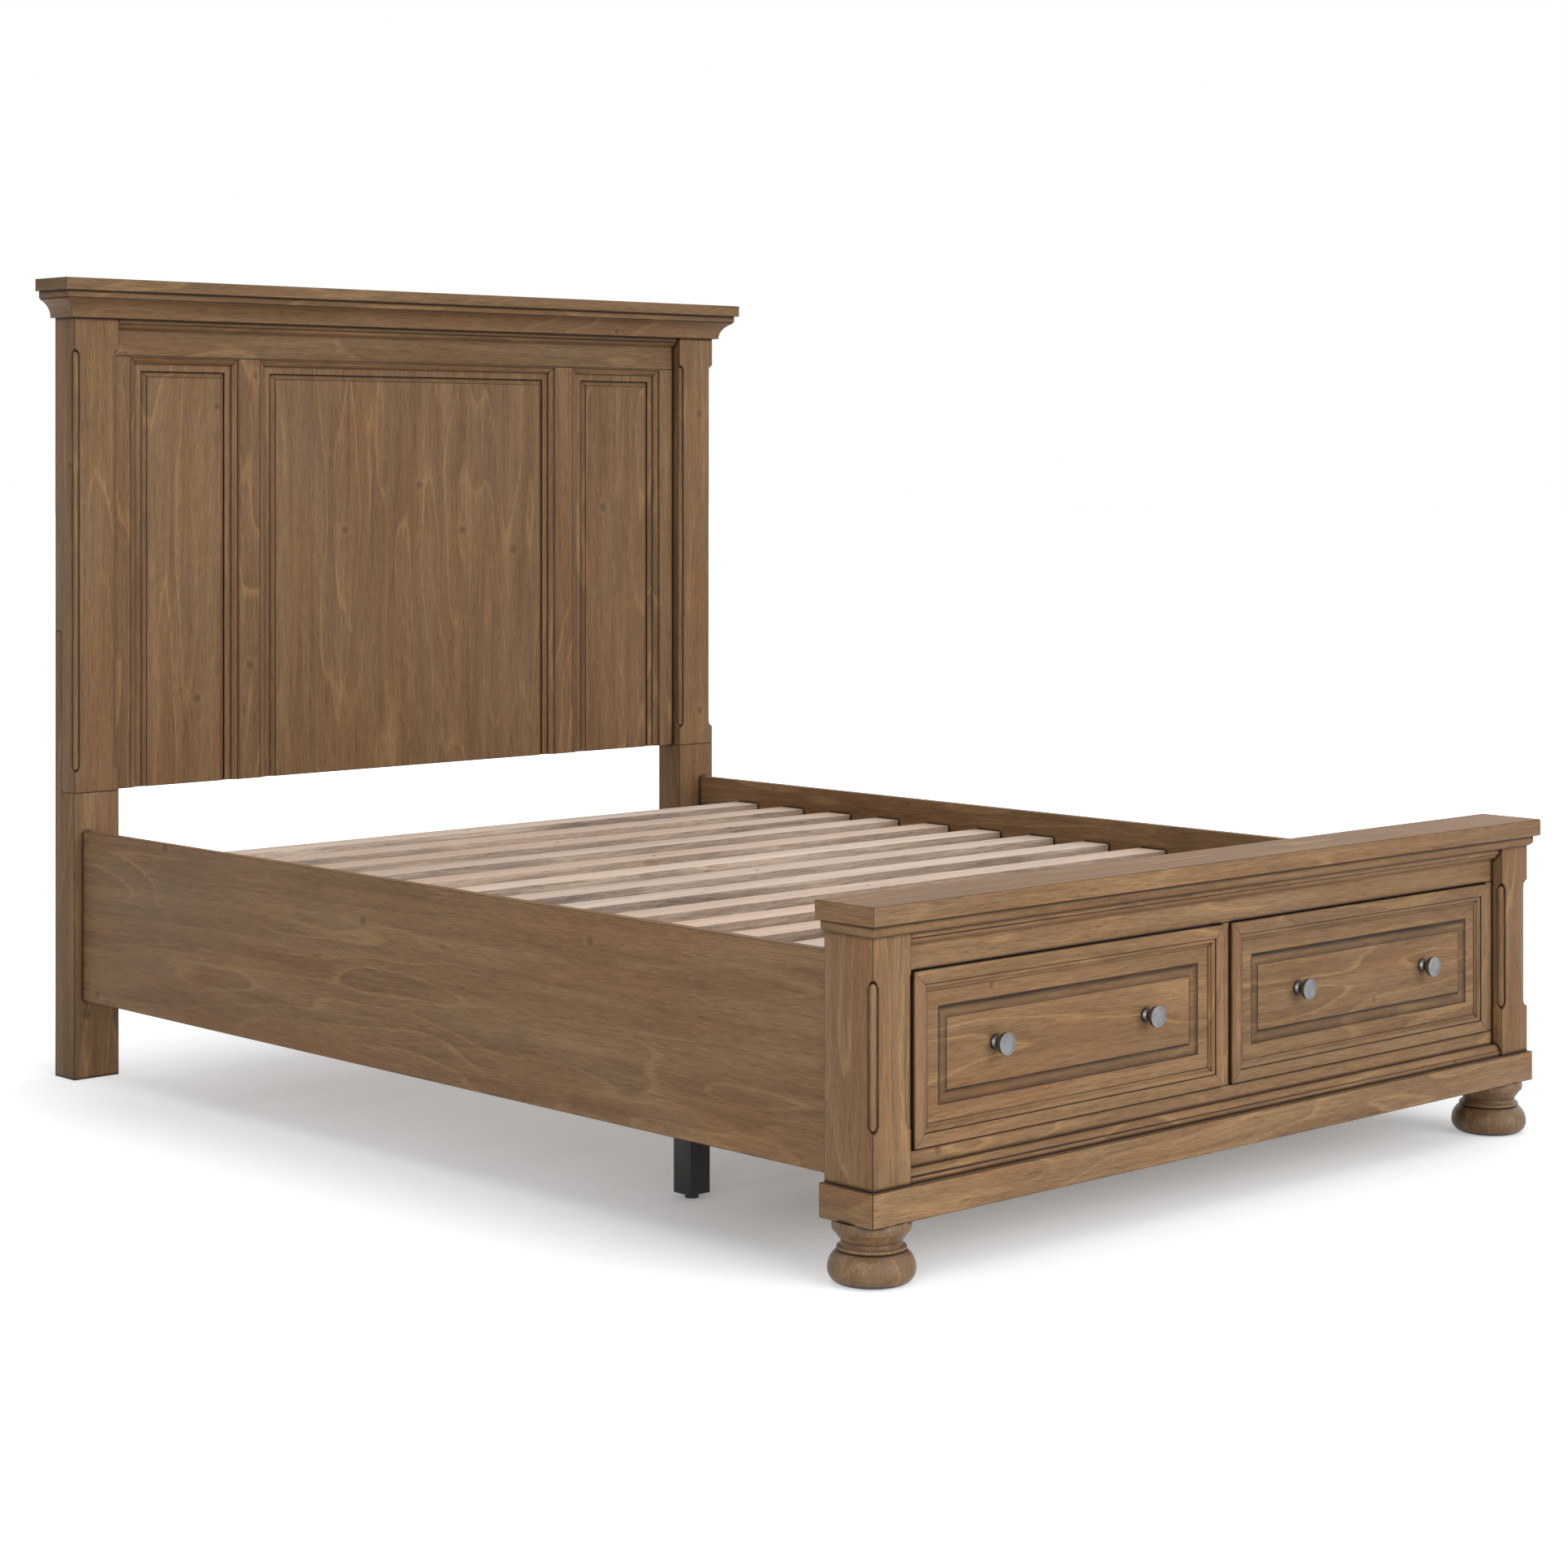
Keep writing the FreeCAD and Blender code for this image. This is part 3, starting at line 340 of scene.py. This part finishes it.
def knotted(shader, body):
    """Small dark knots with ragged edges, each in a lighter ring."""
    place = shader.rest_place()
    reaches = [shader.maths("DIVIDE", shader.distance(place, spot), knot_reach * radius)
               for spot, radius in knots]
    closest = reaches[0]
    for reach in reaches[1:]:
        closest = shader.maths("MINIMUM", reach, closest)
    ragged = shader.noise(place, even(260.0), 1.0)
    closest = shader.maths("ADD", closest, shader.spread(ragged, 0.3, 0.7, -0.3, 0.3, smooth=False))
    ring = shader.maths("MULTIPLY", shader.spread(closest, 2.6, 1.5), shader.spread(closest, 0.9, 1.4))
    body = shader.mix(shader.maths("MULTIPLY", ring, 0.16), body, knot_ring)
    return shader.mix(shader.spread(closest, 1.45, 0.2, 0.0, 0.62), body, knot_heart)


def stained_wood(name, glazed_and_shaded, gloss=0.0):
    """Golden brown stain over a rotary figure, with dark glaze and painted shade in the corners and along the
    edges.
    """
    shader = Shader(bpy.data.materials.new(name))
    place = shader.attribute("grain")
    tone = shader.put("SeparateXYZ", {0: shader.attribute("board")})
    lines = grain_lines(shader, place)
    flow, bands, fine, broad = lines
    body = figured(shader, stain(shader, flow), place, lines, tone)
    body = knotted(shader, body)

    # Painted shade: ambient occlusion darkens the colour in corners and creases, together with the glaze there
    corner = shader.put("AmbientOcclusion", {"Distance": corner_reach}, samples=8).outputs["AO"]
    glaze_and_shade = shader.maths("MULTIPLY", shader.spread(corner, 0.96, 0.66), tone.outputs[2])
    body = shader.mix(glaze_and_shade, body, corner_glaze_and_shade)
    # Material 1 holds glaze on the rounded edges and painted shade in quirks, on leaning moulding faces and in
    # hollows
    if glazed_and_shaded:
        worn = shader.noise(place, lengthwise(9.0, 60.0), 2.0, shift=17.0)
        glaze_and_shade_kept = shader.maths("MULTIPLY", shader.spread(worn, 0.30, 0.62, 0.80, 1.0), tone.outputs[2])
        body = shader.mix(glaze_and_shade_kept, body, edge_glaze_and_shade)

    height = shader.maths("ADD", fine, shader.maths("MULTIPLY", bands, 0.35))
    roughness = shader.spread(fine, 0.2, 0.8, 0.46 - gloss, 0.60 - gloss, smooth=False)
    inputs = {"Base Color": body, "Roughness": roughness, "Specular IOR Level": 0.13 + gloss}
    return shader.surface(inputs, height, wood_bump)


def plain_wood(name, light, dark, warm, contrast=1.0):
    """Unstained wood with lengthwise streaks. Each board has its own lightness and warmth."""
    shader = Shader(bpy.data.materials.new(name))
    tone = shader.put("SeparateXYZ", {0: shader.attribute("board")})
    flow, bands, fine, broad = grain_lines(shader, shader.attribute("grain"))
    mottle = shader.noise(flow, lengthwise(2.0, 30.0), 3.0, 0.6, shift=3.0)
    body = shader.mix(shader.spread(mottle, 0.32, 0.68), dark, light)
    body = shader.mix(tone.outputs[1], body, warm)
    streaks = shader.maths("ADD", shader.spread(fine, 0.25, 0.75, -0.10 * contrast, 0.09 * contrast),
                           shader.spread(broad, 0.3, 0.7, -0.10 * contrast, 0.08 * contrast))
    rings = shader.spread(bands, 0.0, 1.0, 0.02 * contrast, -0.05 * contrast, smooth=False)
    pores = shader.noise(flow, lengthwise(14.0, 900.0), 1.0, shift=5.0)
    pores = shader.spread(pores, 0.62, 0.75, 0.0, -0.2 * contrast)
    factor = shader.maths("ADD", shader.maths("ADD", streaks, rings), shader.maths("ADD", pores, 1.0))
    body = toned(shader, body, factor, tone)
    roughness = shader.spread(fine, 0.2, 0.8, 0.56, 0.70, smooth=False)
    return shader.surface({"Base Color": body, "Roughness": roughness}, fine, wood_bump)


# Metal and plastic

def coated_metal(name, colour, roughness):
    """Powder coat: a fine orange-peel surface, a little dusty."""
    shader = Shader(bpy.data.materials.new(name))
    place = shader.rest_place()
    peel = shader.noise(place, even(900.0), 2.0, 0.6)
    dust = shader.noise(place, even(30.0), 3.0, 0.6)
    body = shader.level(colour, shader.spread(dust, 0.3, 0.7, 0.85, 1.25))
    rough = shader.spread(dust, 0.3, 0.7, roughness - 0.05, roughness + 0.08)
    return shader.surface({"Base Color": body, "Roughness": rough}, peel, coat_bump)


def bare_metal(name, colour, dark, roughness, cells):
    """Metal with fine marks; the marks run one way where their cells are longer on one axis."""
    shader = Shader(bpy.data.materials.new(name))
    place = shader.rest_place()
    marks = shader.noise(place, cells, 3.0, 0.65)
    stains = shader.noise(place, even(60.0), 3.0, 0.6, shift=2.0)
    body = shader.mix(shader.spread(stains, 0.35, 0.7), colour, dark)
    body = shader.level(body, shader.spread(marks, 0.25, 0.75, 0.94, 1.06))
    rough = shader.spread(marks, 0.25, 0.75, roughness - 0.04, roughness + 0.06)
    return shader.surface({"Base Color": body, "Metallic": 1.0, "Roughness": rough}, marks, metal_bump)


turned_gloss = 0.14
STAINED = [stained_wood("stained_face", False), stained_wood("stained_edge", True)]
TURNED = [stained_wood("turned_face", False, turned_gloss), stained_wood("turned_edge", True, turned_gloss)]
SLAT_FACE = plain_wood("slat_face", paint(244, 228, 212), paint(230, 211, 194), paint(234, 203, 180))
# The slat sides are painted darker than the tops, as shade between the slats, and with stronger streaks
SLAT_SIDE_SHADED = plain_wood("slat_side_shaded", paint(212, 191, 173), paint(152, 132, 117), paint(190, 166, 146), 2.6)
INNER = plain_wood("inner_face", paint(186, 154, 116), paint(160, 126, 90), paint(178, 138, 100))
BOX = plain_wood("box_face", paint(206, 184, 152), paint(186, 160, 126), paint(198, 166, 130))
BLACK_METAL = coated_metal("black_coat", paint(30, 29, 28), 0.50)
BLACK_PLASTIC = coated_metal("black_plastic_face", paint(26, 26, 26), 0.55)
PEWTER = bare_metal("pewter", paint(128, 128, 129), paint(112, 112, 114), 0.30, even(1500.0))
ZINC = bare_metal("zinc", paint(196, 198, 200), paint(160, 163, 168), 0.36, (90.0, 14.0, 900.0))
DARK_ZINC = bare_metal("dark_zinc", paint(52, 50, 48), paint(40, 38, 36), 0.55, even(900.0))

# Materials of the pieces made here: their faces, their edges and, on the slats, their sides
board_materials = {
    "stained_wood": STAINED,
    "slat_wood": [SLAT_FACE, SLAT_FACE, SLAT_SIDE_SHADED],
    "inner_wood": [INNER, INNER],
    "box_wood": [BOX, BOX],
    "black_metal": [BLACK_METAL, BLACK_METAL],
}

# Materials of the fittings, which keep the shape of their CAD node
fitting_materials = {
    "black_plastic": BLACK_PLASTIC,
    "knob_metal": PEWTER,
    "zinc_steel": ZINC,
}

# Boards, one mesh per CAD node

upright_nodes = ("head_panel_centre", "head_panel_left", "head_panel_right", "bun_foot", "head_back_sheet")

# Widths of the rounds over the edges; the posts get a second one over what the first has left
moulding_words = ("moulding", "cove", "step")
moulding_ease = 0.0005
stained_ease = 0.0012
plain_ease = 0.0008
second_post_ease = 0.0004

# An edge is rounded where it is longer than some widths of its round and turns by more than an angle
least_edge_widths = 4
least_edge_turn = math.radians(40)

# Nodes whose rounded edges hold a line of glaze and painted shade, and how strongly the glaze and painted
# shade stay on each kind of piece
rounded_nodes = ("crown_board", "foot_cap", "side_rail")
glaze_and_shade_levels = {"post": 0.86, "leg": 0.75, "plinth": 0.84, "cap": 0.84, "crown": 0.84, "rail": 0.9}
usual_glaze_and_shade = 0.92

# A narrow step along a moulding holds glaze and painted shade where it is long, narrow and turns into a corner
quirk_length = 0.05
quirk_width = 0.003
quirk_turn = math.radians(35)

# A face leans when the greatest part of its normal is less than this, on a rounded edge and in a hollow
round_lean = 0.87
hollow_lean = 0.9995

# Glaze and painted shade in the hollow round a drawer front: in its middle, at most, and how fast it grows
# with the slope.
# The sides that face up or to the left, towards the light, are painted lighter, and the others darker, as
# shade
hollow_node = "drawer_front"
middle_glaze_and_shade = 0.30
most_glaze_and_shade = 0.97
glaze_and_shade_growth = 11.0
lit_side_growth = 2.6
lit_side_turn = 0.05

# Lighter and darker stain from one group of boards to the next, which also paints the foot end lighter and the
# head end darker, as light falling off towards the head, and how far one board differs from another
stain_and_painted_light_levels = {"head": -0.13, "head_top": -0.18, "head_leg": -0.10, "head_post": -0.10, "crown": -0.12,
                "frieze": -0.12, "side": 0.08, "foot": 0.20, "foot_post": 0.05, "foot_cap": 0.20,
                "drawer": 0.19, "drawer_front_right": 0.05, "drawer_moulding_right": 0.07, "header": 0.17,
                "bottom": 0.13, "cap": 0.08, "plinth": 0.15, "bun": -0.16}
stained_spread = 0.035
plain_spread = 0.08

# Each board is cut from another place in the grain, at most this far away on each axis
grain_shift = 40

# Faces that turn less than the first of these are one flat face, and less than the second one smooth face
flat_turn = math.radians(0.3)
smooth_turn = math.radians(25)

# The sides of a slat are the faces whose normal rises less than this
least_rise = 0.5

# Micrometres in a metre, because corners that round to the same one are one corner
micrometres = 1e6


def closed_shells(mesh):
    """The node's faces in groups, one for each closed solid."""
    spots = {}
    same = [spots.setdefault(tuple(round(c * micrometres) for c in v.co), v.index) for v in mesh.vertices]
    shells, faces, unmatched = [], [], {}
    for polygon in mesh.polygons:
        corners = [same[i] for i in polygon.vertices]
        if len(set(corners)) < 3:
            continue
        faces.append(corners)
        for first, second in zip(corners, corners[1:] + corners[:1]):
            if unmatched.get((second, first)):
                unmatched[second, first] -= 1
                if not unmatched[second, first]:
                    del unmatched[second, first]
            else:
                unmatched[first, second] = unmatched.get((first, second), 0) + 1
        if not unmatched:
            shells.append(faces)
            faces = []
    if faces:
        shells.append(faces)
    return shells


def shell_mesh(mesh, faces):
    """A clean mesh of one solid: joined corners, and flat faces without their triangles."""
    solid = bmesh.new()
    corners = {i: solid.verts.new(mesh.vertices[i].co) for i in {i for face in faces for i in face}}
    for face in faces:
        try:
            solid.faces.new([corners[i] for i in face])
        except ValueError:
            continue
    bmesh.ops.dissolve_limit(solid, angle_limit=flat_turn, verts=solid.verts, edges=solid.edges)
    return solid


def eased(solid, width):
    """Rounds over the long sharp outer edges; the new faces get material 1."""
    edges = []
    for edge in solid.edges:
        if len(edge.link_faces) == 2 and edge.is_convex and edge.calc_length() > least_edge_widths * width:
            if edge.calc_face_angle() > least_edge_turn:
                edges.append(edge)
    if edges:
        bmesh.ops.bevel(solid, geom=edges, offset=width, offset_type="OFFSET", segments=2, profile=0.6,
                        affect="EDGES", clamp_overlap=True, material=1)


def grain_axes(solid, upright):
    """The three axes from the board's longest to its shortest; an upright board has axis 2 first."""
    low = [min(v.co[k] for v in solid.verts) for k in range(3)]
    high = [max(v.co[k] for v in solid.verts) for k in range(3)]
    size = [b - a for a, b in zip(low, high)]
    order = sorted(range(3), key=lambda k: -size[k])
    if upright:
        order.remove(2)
        order.insert(0, 2)
    return order


def leans(face, least):
    """Says whether a face is askew to all three axes."""
    return max(abs(part) for part in face.normal) < least


def glazed_and_shaded_quirks(solid):
    """Gives glaze and painted shade to the narrow steps along a moulding or a frame, where one side is a
    corner.
    """
    for face in solid.faces:
        longest = max(edge.calc_length() for edge in face.edges)
        if longest > quirk_length and face.calc_area() / longest < quirk_width:
            if any(len(edge.link_faces) == 2 and not edge.is_convex and
                   edge.calc_face_angle() > quirk_turn for edge in face.edges):
                face.material_index = 1


def glazed_and_shaded_slopes(solid, least):
    """Gives glaze and painted shade to the faces that lean, such as the middle of a round or the sides of a
    hollow.
    """
    for face in solid.faces:
        if leans(face, least):
            face.material_index = 1


def hollow_glaze_and_shade(normal):
    """Glaze and painted shade on a side of a hollow: more where it is steep, and most where it faces down or
    right, away from the light.
    """
    lit_side = normal.z > lit_side_turn or normal.x < -lit_side_turn
    growth = lit_side_growth if lit_side else glaze_and_shade_growth
    return min(most_glaze_and_shade, middle_glaze_and_shade + growth * (1.0 - abs(normal.y)))


def mark_grain(solid, order, level, spread, usual, hollow):
    """Stores each corner's place in the board, along, across and through it, and each face's tone.

    The tone holds the board's lightness, which is partly painted light, its warmth, and the glaze and painted
    shade that stay on the face.
    """
    place = solid.loops.layers.float_vector.new("grain")
    board = solid.faces.layers.float_vector.new("board")
    offset = Vector([chance.uniform(-grain_shift, grain_shift) for _ in range(3)])
    lightness = level + chance.uniform(-spread, spread)
    warmth = chance.random()
    for face in solid.faces:
        glaze_and_shade = hollow_glaze_and_shade(face.normal) if hollow and leans(face, hollow_lean) else usual
        face[board] = Vector((lightness, warmth, glaze_and_shade))
        facing = max(range(3), key=lambda k: abs(face.normal[k]))
        along = order if facing != order[0] else [order[1], order[0], order[2]]
        for loop in face.loops:
            loop[place] = Vector([loop.vert.co[k] for k in along]) + offset


def add_solid(whole, solid, slatted):
    """Copies a solid into the mesh of its node, with its grain. The sides of a slat get material 2."""
    grain = whole.loops.layers.float_vector["grain"]
    board = whole.faces.layers.float_vector["board"]
    solid_grain = solid.loops.layers.float_vector["grain"]
    solid_board = solid.faces.layers.float_vector["board"]
    corners = {v: whole.verts.new(v.co) for v in solid.verts}
    for face in solid.faces:
        try:
            copied = whole.faces.new([corners[v] for v in face.verts])
        except ValueError:
            continue
        copied.smooth = True
        copied.material_index = face.material_index
        if slatted and abs(face.normal.z) < least_rise:
            copied.material_index = 2
        copied[board] = face[solid_board]
        for loop, other in zip(copied.loops, face.loops):
            loop[grain] = other[solid_grain]


def ease_width(node, slot):
    """How wide the edges of a piece are rounded."""
    if slot != "stained_wood":
        return plain_ease
    return moulding_ease if any(word in node for word in moulding_words) else stained_ease


def stain_and_painted_light_level(node):
    """How much lighter or darker a stained piece is, partly its stain and partly painted light, by the longest
    listed name that its own begins with.
    """
    starts = [start for start in stain_and_painted_light_levels if node.startswith(start)]
    return stain_and_painted_light_levels[max(starts, key=len)] if starts else 0.0


def dressed(node, source, slot):
    """A piece that stands for a CAD node, with eased edges and grain that follows each board."""
    stained = slot == "stained_wood"
    level = stain_and_painted_light_level(node) if stained else 0.0
    spread = stained_spread if stained else plain_spread
    levels = [glaze_and_shade_levels[word] for word in node.split("_") if word in glaze_and_shade_levels]
    glaze_and_shade = max(levels, default=usual_glaze_and_shade)
    hollow = node.startswith(hollow_node)
    mesh = bpy.data.meshes.new(node + "_dressed")
    whole = bmesh.new()
    whole.loops.layers.float_vector.new("grain")
    whole.faces.layers.float_vector.new("board")
    for faces in closed_shells(source.data):
        solid = shell_mesh(source.data, faces)
        order = grain_axes(solid, node.startswith(upright_nodes))
        glazed_and_shaded_quirks(solid)
        if node.startswith(rounded_nodes):
            glazed_and_shaded_slopes(solid, round_lean)
        if hollow:
            glazed_and_shaded_slopes(solid, hollow_lean)
        eased(solid, ease_width(node, slot))
        if "post" in node:
            eased(solid, second_post_ease)
        mark_grain(solid, order, level, spread, glaze_and_shade, hollow)
        add_solid(whole, solid, slot == "slat_wood")
        solid.free()
    whole.to_mesh(mesh)
    whole.free()
    for material in TURNED if node.startswith("bun") else board_materials[slot]:
        mesh.materials.append(material)
    mesh.set_sharp_from_angle(angle=smooth_turn)
    piece = bpy.data.objects.new(node + "_piece", mesh)
    bpy.context.scene.collection.objects.link(piece)
    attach(piece, source["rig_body"])
    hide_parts(node)


for node, source in frame["nodes"].items():
    slot = source.material_slots[0].material.name
    if slot in fitting_materials:
        source.material_slots[0].material = DARK_ZINC if node == "slat_screws" else fitting_materials[slot]
    else:
        dressed(node, source, slot)


# Floor, light and camera

floor_reach = 60.0
floor_colour = (0.885, 0.89, 0.90, 1.0)
floor_glow = (0.97, 0.985, 1.0, 1.0)

# The floor glows weakly over an area inside the bed's outline, and more and more with the distance from it,
# which paints a shadow round the bed
painted_shadow_glow = 0.15
glow_distance = 1.5
shaded_half_width = cad_box[1].x - 0.4
shaded_half_length = cad_box[1].y - 0.52

# The photograph's camera, worked out from the edges and corners of the bed that show in it
camera_place = (-4.0983, -4.42515, 1.1998)
camera_heading = math.radians(-43.0905)
camera_lens = 74.1055
camera_shift = (0.00269, -0.2062)


def floor_paint():
    """A pale floor. Seen directly or in a reflection it is lifted to white, and keeps the bed's shadow; near
    the bed it is lifted less, which paints a shadow there.
    """
    shader = Shader(bpy.data.materials.new("floor_paint"))
    place = shader.rest_place()
    cloud = shader.noise(place, even(1.5), 2.0)
    colour = shader.level(floor_colour, shader.spread(cloud, 0.3, 0.7, 0.985, 1.0))
    diffuse = shader.put("BsdfDiffuse", {"Color": colour})
    away = shader.vectors("ABSOLUTE", place, (0.0, 0.0, 0.0))
    away = shader.vectors("SUBTRACT", away, (shaded_half_width, shaded_half_length, 0.0))
    away = shader.vectors("MAXIMUM", away, (0.0, 0.0, 0.0))
    away = shader.distance(away, (0.0, 0.0, 0.0))
    # Painted shadow: the glow is weaker near the bed
    lift = shader.spread(away, 0.0, glow_distance, painted_shadow_glow, 1.0)
    strength = shader.maths("MULTIPLY", shader.seen_clearly(), lift)
    glow = shader.put("Emission", {"Color": floor_glow, "Strength": strength})
    return shader.end(shader.put("AddShader", {0: diffuse.outputs[0], 1: glow.outputs[0]}))


def floor():
    """A wide square floor."""
    mesh = bpy.data.meshes.new("floor")
    corners = [(-floor_reach, -floor_reach, 0), (floor_reach, -floor_reach, 0),
               (floor_reach, floor_reach, 0), (-floor_reach, floor_reach, 0)]
    mesh.from_pydata(corners, [], [(0, 1, 2, 3)])
    mesh.materials.append(floor_paint())
    made = bpy.data.objects.new("floor", mesh)
    bpy.context.scene.collection.objects.link(made)


def shining(name, lamp, towards):
    """Puts a lamp in the scene; it shines from the given direction."""
    made = bpy.data.objects.new(name, lamp)
    made.rotation_mode = "QUATERNION"
    made.rotation_quaternion = Vector(towards).to_track_quat("Z", "Y")
    bpy.context.scene.collection.objects.link(made)
    return made


def sun(name, towards, strength, spread):
    """A lamp far away, softer with more spread, which is in degrees."""
    lamp = bpy.data.lights.new(name, "SUN")
    lamp.energy = strength
    lamp.angle = math.radians(spread)
    shining(name, lamp, towards)


def softbox(name, place, aim, size, power):
    """A square lamp, in metres and watts."""
    lamp = bpy.data.lights.new(name, "AREA")
    lamp.size = size
    lamp.energy = power
    shining(name, lamp, Vector(place) - Vector(aim)).location = place


def surroundings():
    """White where it is seen or reflected; it gives no light of its own."""
    shader = Shader(bpy.data.worlds.new("studio"))
    white = (1.0, 1.0, 1.0, 1.0)
    background = shader.put("Background", {"Color": white, "Strength": shader.seen_clearly()})
    bpy.context.scene.world = shader.end(background, "OutputWorld")


def camera():
    """The photograph's view."""
    data = bpy.data.cameras.new("camera")
    data.sensor_width = 36.0
    data.lens = camera_lens
    data.shift_x, data.shift_y = camera_shift
    made = bpy.data.objects.new("camera", data)
    made.location = camera_place
    made.rotation_euler = (math.radians(90), 0, camera_heading)
    bpy.context.scene.collection.objects.link(made)
    bpy.context.scene.camera = made


floor()
surroundings()
sun("front_low", (0.1, -1.0, 0.3), 1.75, 50)
sun("front_high", (0.3, -1.0, 0.7), 0.30, 40)
sun("top", (0.0, -0.2, 1.0), 0.75, 60)
sun("right", (1.0, 0.1, 0.7), 0.45, 60)
sun("left", (-1.0, -0.2, 0.5), 0.50, 60)
softbox("left_foot_end", (-3.4, -2.6, 1.3), (-0.8, -0.3, 0.3), 1.6, 26)
sun("back", (0.0, 1.0, 1.0), 0.48, 60)
camera()

scene = bpy.context.scene
scene.view_settings.view_transform = "Standard"
